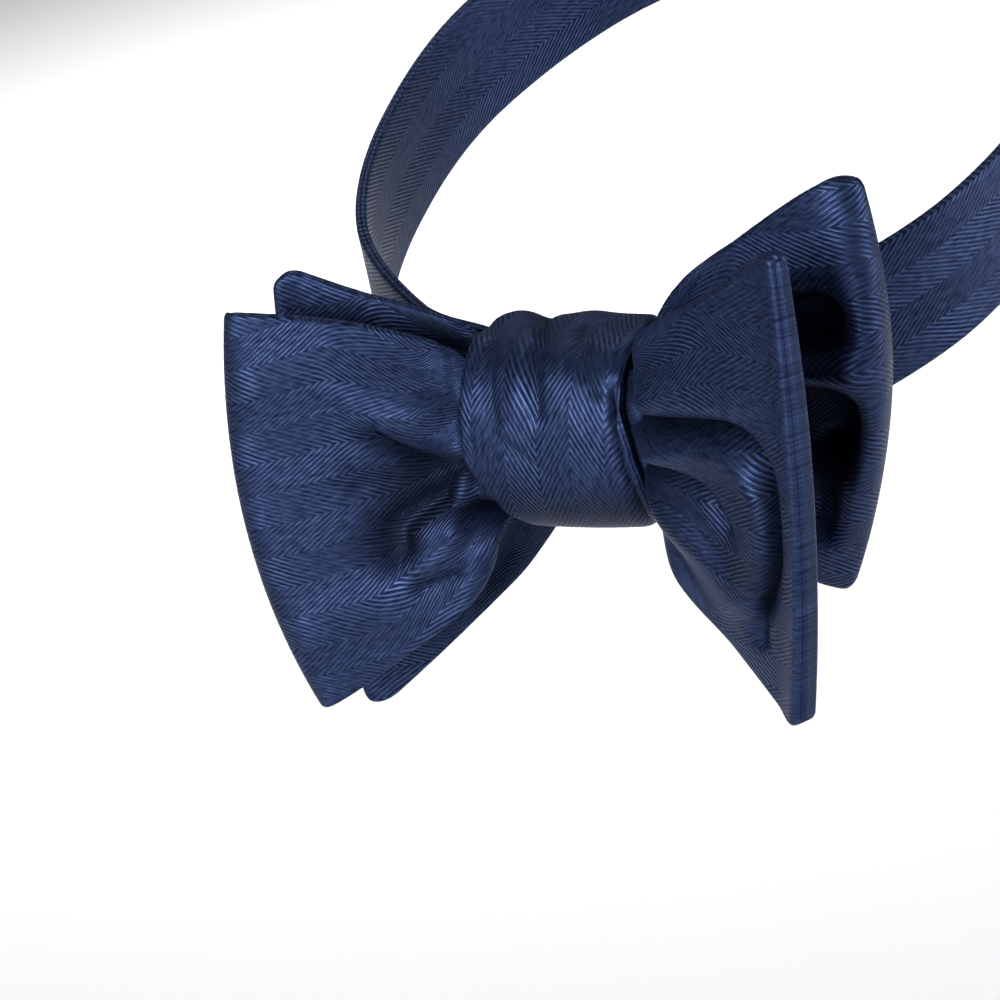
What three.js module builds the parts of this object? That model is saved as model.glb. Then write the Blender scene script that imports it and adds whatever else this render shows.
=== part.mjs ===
// Self-tie bow tie, tied: a front bow and a back bow of pleated silk, the knot that wraps
// their waists, and the band that runs round the neck.
// Millimetres. +X is the wearer's left, -Y is forward, +Z is up.
// The origin is on the middle of the neck, just behind the knot.
import * as THREE from 'three';

const CLOTH_THICKNESS = 2.0;      // two plies of silk with their interlining
const CORNER_RADIUS = 5.0;        // rounding of the corners of a seamed end
const CORNER_LIMIT = 0.9;         // share of that rounding which the cloth takes up
const BOW_STATIONS = 62;          // steps along the length of a bow
const BOW_COLUMNS = 14;           // steps across the height of a bow

// The front bow, in the order that the strip runs: a folded loop on the wearer's right,
// then through the knot to the flat seamed end on the wearer's left.
// Each row is one cross-section, as [x, y, z] of its top edge, its middle and its bottom edge.
const FRONT_BOW_SECTIONS = [
  { name: 'rear ply in the knot', top: [-5, -15.3, 11.0], middle: [-5, -15.9, -0.5], bottom: [-5, -15.3, -11.0] },
  { name: 'rear ply at the mouth', top: [-13, -15.2, 12.4], middle: [-13, -15.9, -1], bottom: [-12, -15.2, -12.6] },
  { name: 'rear ply, near', top: [-20, -17.6, 17.8], middle: [-21, -18.6, -3], bottom: [-18.5, -17.4, -25] },
  { name: 'rear ply, half way', top: [-31, -23.5, 22.3], middle: [-32, -22.8, -6], bottom: [-30, -22.8, -33] },
  { name: 'rear ply, far', top: [-41, -27.8, 24.8], middle: [-45, -28.3, -8], bottom: [-41, -27.6, -39] },
  { name: 'fold', top: [-45.8, -31.8, 26.3], middle: [-50.4, -32.4, -8], bottom: [-45.6, -31.6, -40.8] },
  { name: 'front ply, far', top: [-42.3, -34.0, 26.0], middle: [-46.5, -35.8, -7.5], bottom: [-42.3, -34.0, -40.3] },
  { name: 'front ply, half way', top: [-31.5, -28.6, 23.2], middle: [-33, -30.5, -6], bottom: [-32, -28.8, -34.8] },
  { name: 'front ply, near', top: [-19.5, -22.2, 18.6], middle: [-22, -26.0, -4], bottom: [-19.5, -23.2, -26] },
  { name: 'right mouth', top: [-15.4, -18.9, 11.2], middle: [-15.4, -22.1, -1], bottom: [-12.6, -18.9, -11.4] },
  { name: 'waist', top: [0, -19.2, 10.9], middle: [0, -22.7, 0], bottom: [0, -19.2, -10.9] },
  { name: 'left mouth', top: [16, -18.9, 11.2], middle: [15.5, -22.1, 0], bottom: [15.0, -18.9, -11.4] },
  { name: 'flat end, near', top: [21, -23.8, 20.2], middle: [22.5, -27.0, 0], bottom: [19.5, -23.4, -25.5] },
  { name: 'flat end, half way', top: [34, -31.4, 27.6], middle: [35, -33.8, -1], bottom: [29.5, -29.8, -34.5] },
  { name: 'seamed end', top: [48.8, -40.0, 37.0], middle: [49.5, -41.8, -1], bottom: [41.8, -38.6, -38.8] },
];

// The back bow, in the order that the strip runs: a folded loop on the wearer's left,
// then through the knot to the flat seamed end on the wearer's right.
const BACK_BOW_SECTIONS = [
  { name: 'rear ply in the knot', top: [2, -7.8, 8.5], middle: [2, -8.1, 0.5], bottom: [2, -7.8, -7.5] },
  { name: 'rear ply at the mouth', top: [9.5, -7.8, 10.0], middle: [9.5, -8.1, 0.5], bottom: [9.5, -7.8, -9.5] },
  { name: 'rear ply, near', top: [19, -7.3, 19.5], middle: [19, -7.9, 2], bottom: [19, -7.7, -16.5] },
  { name: 'rear ply, half way', top: [31, -6.6, 27.6], middle: [33, -7.2, 4], bottom: [30, -7.6, -22.5] },
  { name: 'rear ply, far', top: [44.5, -8.6, 35.2], middle: [49, -9.6, 5], bottom: [38.5, -8.6, -27] },
  { name: 'fold', top: [50.6, -12.2, 37.9], middle: [52.8, -14.2, 5], bottom: [40.6, -11.6, -27.6] },
  { name: 'front ply, far', top: [46.5, -15.6, 36.6], middle: [49.5, -18.6, 5], bottom: [38.5, -15.0, -28] },
  { name: 'front ply, half way', top: [33, -13.8, 29.2], middle: [34, -16.0, 3.5], bottom: [30.5, -13.8, -23.5] },
  { name: 'front ply, near', top: [21, -12.4, 20.3], middle: [21, -13.2, 2], bottom: [20.5, -12.4, -17.5] },
  { name: 'left mouth', top: [13.8, -12.2, 12.7], middle: [13.5, -12.7, 0.5], bottom: [13.2, -12.2, -12.3] },
  { name: 'waist', top: [0, -12.2, 12.0], middle: [0, -12.7, 0], bottom: [0, -12.2, -12.0] },
  { name: 'right mouth', top: [-11.5, -11.8, 12.6], middle: [-11, -12.4, -1], bottom: [-9.5, -11.8, -13] },
  { name: 'flat end, near', top: [-19, -11.8, 17.9], middle: [-20, -13.4, -5], bottom: [-16.5, -11.4, -27.6] },
  { name: 'flat end, half way', top: [-32, -14.8, 23.3], middle: [-33, -16.5, -9], bottom: [-31, -14.4, -39] },
  { name: 'seamed end', top: [-45.6, -17.3, 27.9], middle: [-48.2, -19, -10], bottom: [-46.6, -17.6, -50.2] },
];

// Folds pressed into the plies: each follows a line of [x, z] points, and pushes the cloth
// forward by its height (or back, where that is negative) over its half width.
// A fold only shapes the stretch between two sections of its bow, and eases in and out there.
const FOLD_EASE_IN = 0.5;
const FOLD_EASE_OUT = 0.3;
const FRONT_BOW_FOLDS = [
  { between: [6, 9], line: [[-17, 3], [-34, 2]], halfWidth: 5, height: 2.2 },
  { between: [6, 9], line: [[-17, -2], [-31, -1]], halfWidth: 3, height: -2.0 },
  { between: [6, 9], line: [[-17, -7], [-24, -13], [-31, -19]], halfWidth: 3.5, height: 1.6 },
  { between: [6, 9], line: [[-24, -21], [-30, -27]], halfWidth: 5, height: -1.6 },
  { between: [6, 9], line: [[-16, -12], [-21, -22]], halfWidth: 3.5, height: 1.6 },
  { between: [11, 14], line: [[17, 3], [32, 0], [41, -12], [42, -26]], halfWidth: 4, height: 2.4 },
  { between: [11, 14], line: [[17, -3], [27, -6], [34, -14]], halfWidth: 3.5, height: -2.6 },
  { between: [11, 14], line: [[17, -10], [27, -22], [35, -33]], halfWidth: 4, height: 1.8 },
];

const BACK_BOW_FOLDS = [
  { between: [5, 9], line: [[44, 20], [30, 15]], halfWidth: 6, height: -2.2 },
  { between: [5, 9], line: [[47, 8], [22, 4]], halfWidth: 4, height: 1.6 },
  { between: [5, 9], line: [[43, -7], [30, -6]], halfWidth: 6, height: -2.2 },
];

// The pleats that gather each bow into the knot: they start at its mouth and fade outwards
const PLEATS = { count: 3, height: 1.1, startsAt: 15.5, fullBy: 19.5, goneBy: 29 };

// The knot is a wide sleeve. Each row gives its outline at one angle round it (0 is the front,
// 90 the top), as the x of its two ends.
const KNOT = {
  wall: 2.0,
  centreY: -13.65,
  centreZ: 0,
  halfDepth: 12.65,
  halfHeight: 16.6,
  frontRoundness: 2.5,   // exponent of the rounded outline: 2 is an ellipse, more is boxier
  rearRoundness: 4,
  endTaper: 0.5,         // how much lower the knot is at its two ends than at its middle
  stepsAround: 60,
  stepsAcross: 12,
};
const KNOT_ENDS = [
  { angle: 0, right: -15.5, left: 14.5 },
  { angle: 50, right: -14.8, left: 15.5 },
  { angle: 90, right: -13.2, left: 14.4 },
  { angle: 135, right: -9.2, left: 10.5 },
  { angle: 180, right: -9.0, left: 9.5 },
  { angle: 225, right: -9.0, left: 10.5 },
  { angle: 270, right: -9.0, left: 13.5 },
  { angle: 310, right: -11.8, left: 14.5 },
  { angle: 335, right: -14.6, left: 14.5 },
  { angle: 360, right: -15.5, left: 14.5 },
];
// Grooves in the knot, each over a range of angle at its own x, easing in and out
const GROOVE_EASE = 25;
const KNOT_GROOVES = [
  { x: -7, halfWidth: 2.2, fromAngle: 25, toAngle: 120, depth: 0.9 },
  { x: 0, halfWidth: 2.0, fromAngle: 25, toAngle: 125, depth: 1.1 },
  { x: 7, halfWidth: 2.2, fromAngle: 40, toAngle: 120, depth: 0.7 },
];

// The neck band: half of its loop from the knot to the nape, as the middle line and the height
// of the strip there. The other half mirrors it.
const BAND = { thickness: 2.0, steps: 72 };
const BAND_LINE = [
  { x: 0, y: -5.1, z: 0.5, height: 14 },
  { x: 10.5, y: -5.1, z: 0.7, height: 14 },
  { x: 18, y: -3.4, z: 3, height: 21 },
  { x: 33, y: 2, z: 5, height: 22 },
  { x: 52, y: 22, z: 11, height: 22 },
  { x: 60.5, y: 52, z: 20, height: 22 },
  { x: 57, y: 86, z: 31, height: 22 },
  { x: 36, y: 117, z: 41, height: 22 },
  { x: 0, y: 129, z: 45, height: 22 },
];

const silk = new THREE.MeshStandardMaterial({ color: 0x1f2c55, roughness: 0.62, metalness: 0 });
silk.name = 'navy_silk';

function smoothStep(edge0, edge1, value) {
  const t = Math.min(Math.max((value - edge0) / (edge1 - edge0), 0), 1);
  return t * t * (3 - 2 * t);
}

// Shortest distance from a point [x, z] to a line of [x, z] points
function distanceToLine(x, z, line) {
  let nearest = Infinity;
  for (let i = 0; i + 1 < line.length; i += 1) {
    const [ax, az] = line[i];
    const [bx, bz] = line[i + 1];
    const dx = bx - ax;
    const dz = bz - az;
    const along = Math.min(Math.max(((x - ax) * dx + (z - az) * dz) / (dx * dx + dz * dz), 0), 1);
    nearest = Math.min(nearest, Math.hypot(x - ax - along * dx, z - az - along * dz));
  }
  return nearest;
}

// Turns a closed grid of outer points and one of inner points into one solid.
// Both are arrays of rows; wrap says whether the last row joins the first.
function shellFromGrids(outer, inner, wrap) {
  const rows = outer.length;
  const columns = outer[0].length;
  const positions = [];
  for (const grid of [outer, inner]) {
    for (const row of grid) {
      for (const point of row) {
        positions.push(point.x, point.y, point.z);
      }
    }
  }
  const at = (layer, i, j) => layer * rows * columns + (i % rows) * columns + j;
  const index = [];
  const quad = (a, b, c, d) => index.push(a, b, c, a, c, d);
  const lastRow = wrap ? rows : rows - 1;
  for (let i = 0; i < lastRow; i += 1) {
    for (let j = 0; j + 1 < columns; j += 1) {
      quad(at(0, i, j), at(0, i + 1, j), at(0, i + 1, j + 1), at(0, i, j + 1));
      quad(at(1, i, j), at(1, i, j + 1), at(1, i + 1, j + 1), at(1, i + 1, j));
    }
    quad(at(0, i, 0), at(1, i, 0), at(1, i + 1, 0), at(0, i + 1, 0));
    const last = columns - 1;
    quad(at(0, i, last), at(0, i + 1, last), at(1, i + 1, last), at(1, i, last));
  }
  if (!wrap) {
    for (let j = 0; j + 1 < columns; j += 1) {
      quad(at(0, 0, j), at(0, 0, j + 1), at(1, 0, j + 1), at(1, 0, j));
      const end = rows - 1;
      quad(at(0, end, j), at(1, end, j), at(1, end, j + 1), at(0, end, j + 1));
    }
  }
  const geometry = new THREE.BufferGeometry();
  geometry.setAttribute('position', new THREE.Float32BufferAttribute(positions, 3));
  geometry.setIndex(index);
  return geometry;
}

// Offsets a grid of mid-surface points to both sides by half the thickness
function thicken(middle, thickness, wrap) {
  const rows = middle.length;
  const columns = middle[0].length;
  const outer = [];
  const inner = [];
  for (let i = 0; i < rows; i += 1) {
    const before = wrap ? (i + rows - 1) % rows : Math.max(i - 1, 0);
    const after = wrap ? (i + 1) % rows : Math.min(i + 1, rows - 1);
    outer.push([]);
    inner.push([]);
    for (let j = 0; j < columns; j += 1) {
      const along = middle[after][j].clone().sub(middle[before][j]);
      const up = middle[i][Math.min(j + 1, columns - 1)].clone().sub(middle[i][Math.max(j - 1, 0)]);
      const offset = along.cross(up).normalize().multiplyScalar(thickness / 2);
      outer[i].push(middle[i][j].clone().add(offset));
      inner[i].push(middle[i][j].clone().sub(offset));
    }
  }
  return [outer, inner];
}

function foldDepth(folds, section, x, z) {
  let depth = 0;
  for (const fold of folds) {
    const [from, to] = fold.between;
    const within = smoothStep(from, from + FOLD_EASE_IN, section)
      * (1 - smoothStep(to - FOLD_EASE_OUT, to, section));
    const across = distanceToLine(x, z, fold.line) / fold.halfWidth;
    depth += fold.height * Math.exp(-across * across) * within;
  }
  return depth;
}

function makeBow(name, sections, folds) {
  const edge = (key) => new THREE.CatmullRomCurve3(
    sections.map((row) => new THREE.Vector3(...row[key])), false, 'catmullrom', 0.5);
  const top = edge('top');
  const middle = edge('middle');
  const bottom = edge('bottom');
  const lastSection = sections.length - 1;
  const endLength = middle.getPoint(1).distanceTo(middle.getPoint(1 - 1 / lastSection));
  const surface = [];
  for (let i = 0; i <= BOW_STATIONS; i += 1) {
    const t = i / BOW_STATIONS;
    const section = t * lastSection;
    const [a, m, b] = [top.getPoint(t), middle.getPoint(t), bottom.getPoint(t)];
    const half = a.clone().sub(b).multiplyScalar(0.5);
    const bend = a.clone().add(b).multiplyScalar(0.5).sub(m);
    const fromEnd = (lastSection - section) * endLength;
    const short = Math.min(Math.max(CORNER_RADIUS - fromEnd, 0), CORNER_RADIUS * CORNER_LIMIT);
    const corner = CORNER_RADIUS - Math.sqrt(CORNER_RADIUS ** 2 - short ** 2);
    const reach = 1 - corner / half.length();
    const row = [];
    for (let j = 0; j <= BOW_COLUMNS; j += 1) {
      const v = (2 * j / BOW_COLUMNS - 1) * reach;
      const point = m.clone().addScaledVector(half, v).addScaledVector(bend, v * v);
      const fade = 1 - smoothStep(PLEATS.fullBy, PLEATS.goneBy, Math.abs(point.x));
      const rise = smoothStep(PLEATS.startsAt, PLEATS.fullBy, Math.abs(point.x));
      const pleat = PLEATS.height * rise * fade * Math.cos(Math.PI * PLEATS.count * v);
      point.y -= pleat + foldDepth(folds, section, point.x, point.z);
      row.push(point);
    }
    surface.push(row);
  }
  const [outer, inner] = thicken(surface, CLOTH_THICKNESS, false);
  return new THREE.Mesh(shellFromGrids(outer, inner, false), silk.clone());
}

// Reads a column of a table whose first column is an angle, easing between its rows
function readByAngle(table, angle, key) {
  for (let i = 0; i + 1 < table.length; i += 1) {
    const from = table[i];
    const to = table[i + 1];
    if (angle <= to.angle) {
      const t = (angle - from.angle) / (to.angle - from.angle);
      return from[key] + (to[key] - from[key]) * t * t * (3 - 2 * t);
    }
  }
  return table[table.length - 1][key];
}

// A point of the knot at an angle round it and a share of the way from its left end to its right
function knotPoint(angle, share, inset) {
  const radians = THREE.MathUtils.degToRad(angle);
  const forward = Math.cos(radians);
  const up = Math.sin(radians);
  const power = forward >= 0 ? KNOT.frontRoundness : KNOT.rearRoundness;
  const depth = KNOT.halfDepth - inset;
  const height = KNOT.halfHeight - inset;
  const size = (Math.abs(forward / depth) ** power + Math.abs(up / height) ** power) ** (-1 / power);
  const right = readByAngle(KNOT_ENDS, angle, 'right');
  const left = readByAngle(KNOT_ENDS, angle, 'left');
  const x = left + (right - left) * share;
  let groove = 0;
  for (const row of KNOT_GROOVES) {
    const across = (x - row.x) / row.halfWidth;
    const along = smoothStep(row.fromAngle, row.fromAngle + GROOVE_EASE, angle)
      * (1 - smoothStep(row.toAngle - GROOVE_EASE, row.toAngle, angle));
    groove += row.depth * along * Math.exp(-across * across);
  }
  const radius = size - KNOT.endTaper * (2 * share - 1) ** 2 - groove;
  return new THREE.Vector3(x, KNOT.centreY - forward * radius, KNOT.centreZ + up * radius);
}

function makeKnot() {
  const outer = [];
  const inner = [];
  for (let i = 0; i < KNOT.stepsAround; i += 1) {
    const angle = 360 * i / KNOT.stepsAround;
    outer.push([]);
    inner.push([]);
    for (let j = 0; j <= KNOT.stepsAcross; j += 1) {
      outer[i].push(knotPoint(angle, j / KNOT.stepsAcross, 0));
      inner[i].push(knotPoint(angle, j / KNOT.stepsAcross, KNOT.wall));
    }
  }
  return new THREE.Mesh(shellFromGrids(outer, inner, true), silk.clone());
}

function makeNeckBand() {
  const mirrored = BAND_LINE.slice(1, -1).reverse().map((row) => ({ ...row, x: -row.x }));
  const rows = [...BAND_LINE, ...mirrored];
  const line = new THREE.CatmullRomCurve3(
    rows.map((row) => new THREE.Vector3(row.x, row.y, row.z)), true, 'catmullrom', 0.5);
  const heights = new THREE.CatmullRomCurve3(
    rows.map((row) => new THREE.Vector3(row.height, 0, 0)), true, 'catmullrom', 0.5);
  const outer = [];
  const inner = [];
  for (let i = 0; i < BAND.steps; i += 1) {
    const t = i / BAND.steps;
    const centre = line.getPoint(t);
    const along = line.getTangent(t);
    const outward = new THREE.Vector3(along.y, -along.x, 0).normalize();
    const up = new THREE.Vector3().crossVectors(outward, along).normalize();
    const halfHeight = heights.getPoint(t).x / 2;
    outer.push([]);
    inner.push([]);
    for (const side of [-1, 1]) {
      const point = centre.clone().addScaledVector(up, side * halfHeight);
      outer[i].push(point.clone().addScaledVector(outward, BAND.thickness / 2));
      inner[i].push(point.clone().addScaledVector(outward, -BAND.thickness / 2));
    }
  }
  return new THREE.Mesh(shellFromGrids(outer, inner, true), silk.clone());
}

const group = new THREE.Group();
group.name = 'bow_tie';
const pieces = {
  front_bow: makeBow('front_bow', FRONT_BOW_SECTIONS, FRONT_BOW_FOLDS),
  back_bow: makeBow('back_bow', BACK_BOW_SECTIONS, BACK_BOW_FOLDS),
  knot: makeKnot(),
  neck_band: makeNeckBand(),
};
for (const [name, mesh] of Object.entries(pieces)) {
  mesh.name = name;
  group.add(mesh);
}

export default group;
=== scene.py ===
"""Self-tie bow tie in navy herringbone silk, tied, as a wearer has it at the neck.

Lengths in the tables are millimetres: +X is the wearer's left, -Y is forward, +Z is up.
"""

import logging
import math
from dataclasses import dataclass
from enum import Enum
from functools import partial

import bmesh
import bpy
import numpy as np
from mathutils import Matrix, Vector


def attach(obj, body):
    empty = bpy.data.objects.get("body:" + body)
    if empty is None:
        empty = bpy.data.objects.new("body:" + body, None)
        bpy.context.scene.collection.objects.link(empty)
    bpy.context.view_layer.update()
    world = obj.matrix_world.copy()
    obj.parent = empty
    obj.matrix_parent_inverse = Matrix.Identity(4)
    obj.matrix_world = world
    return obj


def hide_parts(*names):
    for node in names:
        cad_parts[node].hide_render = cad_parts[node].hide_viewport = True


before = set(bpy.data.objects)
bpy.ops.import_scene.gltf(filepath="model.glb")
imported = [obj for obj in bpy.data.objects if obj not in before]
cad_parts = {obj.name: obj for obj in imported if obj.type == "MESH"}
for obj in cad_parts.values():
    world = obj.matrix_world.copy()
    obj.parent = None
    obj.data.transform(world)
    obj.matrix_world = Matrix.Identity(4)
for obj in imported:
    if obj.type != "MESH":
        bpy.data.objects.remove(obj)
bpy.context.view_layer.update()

log = logging.getLogger("bow_tie")
logging.basicConfig(level=logging.INFO, format="%(name)s: %(message)s")

MM = 0.001
ROOT_BODY = "root"

Pair = tuple[float, float]
Triple = tuple[float, float, float]
Array = np.ndarray

# What each mesh carries for its silk
PLACE_ON_CLOTH = "weave"
# The hollow mask is painted shade: it darkens the silk's colour in the folds, for their depth
PAINTED_SHADE_MASK = "hollow"
PLAIN_MASK = "plain"

# Folds: how they ease in and out at the ends of their stretch, over how many mm their two
# sides blend, and in how many steps their line is followed from point to point
FADE_IN = 0.5
FADE_OUT = 0.3
SIDE_BLEND = 1.2
LINE_STEPS = 6

# Edges: the groove at a seam in mm, how far round the edge it spreads in radians, the most of
# a radius that a corner is drawn in, and within how many metres points are joined
SEAM_GROOVE = 0.6
SEAM_SPREAD = 0.42
ROUNDING_LIMIT = 0.98
MERGE_DISTANCE = 0.02 * MM

# Even, so that the weave's columns count on from above zero
COLUMNS_BEFORE_ZERO = 400.0


class ClothHold(Enum):
    """How a piece of cloth is held in shape."""

    GATHERED = "gathered"
    FOLDED = "folded"
    STRETCHED = "stretched"


@dataclass(frozen=True)
class Section:
    """One cross-section of a blade of cloth: its top edge, its middle and its bottom edge."""

    name: str
    top: Triple
    middle: Triple
    bottom: Triple


@dataclass(frozen=True)
class Fold:
    """A fold in one stretch of a piece, along a smooth line.

    On a blade, the stretch counts rows of the section table and the line runs through (x, z)
    points. On the knot, they are degrees round it and (x, distance round it). The height lifts
    the cloth, or sinks it where negative. The half widths lie left and right of the line as it
    is walked, and the strengths scale the height at its two ends. A greater steepness gives
    steeper sides. The shade sets how much painted shade darkens the silk's colour where the
    fold sinks the cloth, for its depth.
    """

    name: str
    between: Pair
    line: tuple[Pair, ...]
    height: float
    half_widths: Pair
    strengths: Pair
    steepness: float = 2.0
    shade: float = 1.0

    def lift(self, at: Array, x: Array, z: Array) -> Array:
        """Work out how far the fold lifts points.

        Args:
            at: the points' places along the piece, as in the stretch.
            x: the points' first numbers, as in the line.
            z: the points' second numbers, as in the line.

        Returns:
            The lift of each point in mm.
        """
        low, high = self.between
        within = smooth_step(low, low + FADE_IN, at) * (1 - smooth_step(high - FADE_OUT, high, at))
        distance, left, share = place_by_line(x, z, self.line)
        width = self.half_widths[1] + (self.half_widths[0] - self.half_widths[1]) * left
        strength = self.strengths[0] + (self.strengths[1] - self.strengths[0]) * share
        return self.height * strength * np.exp(-((distance / width) ** self.steepness)) * within


def painted_shade_from_depth(folds: tuple[Fold, ...], lifts: list[Array]) -> Array:
    """Add up the painted shade of points: how deep each fold sinks them, in mm, times its shade."""
    return sum(fold.shade * np.clip(-lift, 0, None) for fold, lift in zip(folds, lifts))


FRONT_BOW_SECTIONS = (
    Section("rear ply in the knot", (-5, -15.3, 11.0), (-5, -15.9, -0.5), (-5, -15.3, -11.0)),
    Section("rear ply at the mouth", (-13, -15.2, 12.0), (-13, -15.9, -1), (-11, -15.2, -12.2)),
    Section("rear ply, near", (-20, -17.6, 16.0), (-21, -18.6, -3), (-19.5, -17.4, -23)),
    Section("rear ply, half way", (-31, -23.5, 20.5), (-32, -22.8, -6), (-31.5, -22.8, -31.5)),
    Section("rear ply, far", (-41, -27.8, 23.8), (-45, -28.3, -8), (-41.2, -27.6, -37.6)),
    Section("fold", (-44.5, -31.9, 27.0), (-49.6, -32.4, -8), (-44.3, -31.6, -40.1)),
    Section("front ply, far", (-42.3, -34.0, 27.8), (-46.5, -35.8, -7.5), (-41.8, -34.0, -39.7)),
    Section("front ply, half way", (-31.5, -29.2, 24.8), (-33, -30.5, -6), (-31.2, -29.4, -34.0)),
    Section("front ply, near", (-19.5, -23.2, 19.7), (-22, -26.0, -4), (-17.2, -24.4, -24.4)),
    Section("right mouth", (-15.0, -20.6, 16.0), (-14.6, -22.1, -1), (-11.2, -18.9, -11.8)),
    Section("inside the knot", (-10.5, -18.9, 11.6), (-9.0, -22.6, -0.5), (-7.5, -18.9, -11.2)),
    Section("waist", (0, -19.2, 10.9), (0, -22.7, 0), (0, -19.2, -10.9)),
    Section("left mouth", (14.2, -18.9, 11.2), (13.8, -22.1, 0), (13.6, -19.2, -12.2)),
    Section("flat end, near", (19.5, -24.2, 19.6), (20.0, -27.6, 0), (18.2, -24.6, -20.8)),
    Section("flat end, half way", (34, -31.8, 28.0), (34.4, -34.6, -1), (28.8, -31.2, -29.6)),
    Section("seamed end", (50.0, -40.6, 38.7), (48.2, -42.2, -1), (40.7, -39.4, -39.2)),
)

BACK_BOW_SECTIONS = (
    Section("rear ply in the knot", (2, -7.8, 8.5), (2, -8.1, 0.5), (2, -7.8, -7.5)),
    Section("rear ply at the mouth", (9.5, -7.8, 10.4), (9.5, -8.1, 0.5), (9.5, -7.8, -9.5)),
    Section("rear ply, near", (18.5, -7.3, 20.6), (19, -7.4, 2), (19, -7.7, -16.5)),
    Section("rear ply, half way", (31, -6.6, 28.1), (33, -5.8, 4), (30, -6.8, -22.5)),
    Section("rear ply, far", (44.5, -8.2, 35.7), (47.2, -7.6, 5), (34.9, -9.2, -25.9)),
    Section("fold", (50.9, -12.4, 37.0), (50.8, -14.2, 5), (38.9, -11.6, -28.5)),
    Section("front ply, far", (46.1, -15.4, 37.6), (48.2, -18.6, 5), (34.9, -14.0, -26.2)),
    Section("front ply, half way", (32.5, -13.8, 29.8), (33.6, -16.6, 3.5), (30, -13.8, -23.0)),
    Section("front ply, near", (21, -12.4, 22.0), (21, -13.6, 2), (20.5, -12.4, -17.5)),
    Section("left mouth", (13.0, -12.2, 12.4), (12.8, -12.7, 0.5), (12.6, -12.2, -12.0)),
    Section("waist", (0, -12.2, 11.8), (0, -12.7, 0), (0, -12.2, -11.8)),
    Section("right mouth", (-11.5, -11.8, 12.4), (-9.5, -12.4, -1), (-4.2, -11.6, -14.2)),
    Section("flat end, near", (-19, -11.8, 17.9), (-19, -13.4, -5), (-15.8, -10.9, -26.6)),
    Section("flat end, half way", (-32, -14.8, 23.3), (-33, -16.5, -9), (-30.6, -13.8, -38.8)),
    Section("seamed end", (-45.7, -17.3, 29.8), (-48.2, -19, -10), (-46.2, -17.6, -50.8)),
)

# A sunk fold also paints shade into the silk's colour, for its depth times its shade
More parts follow.
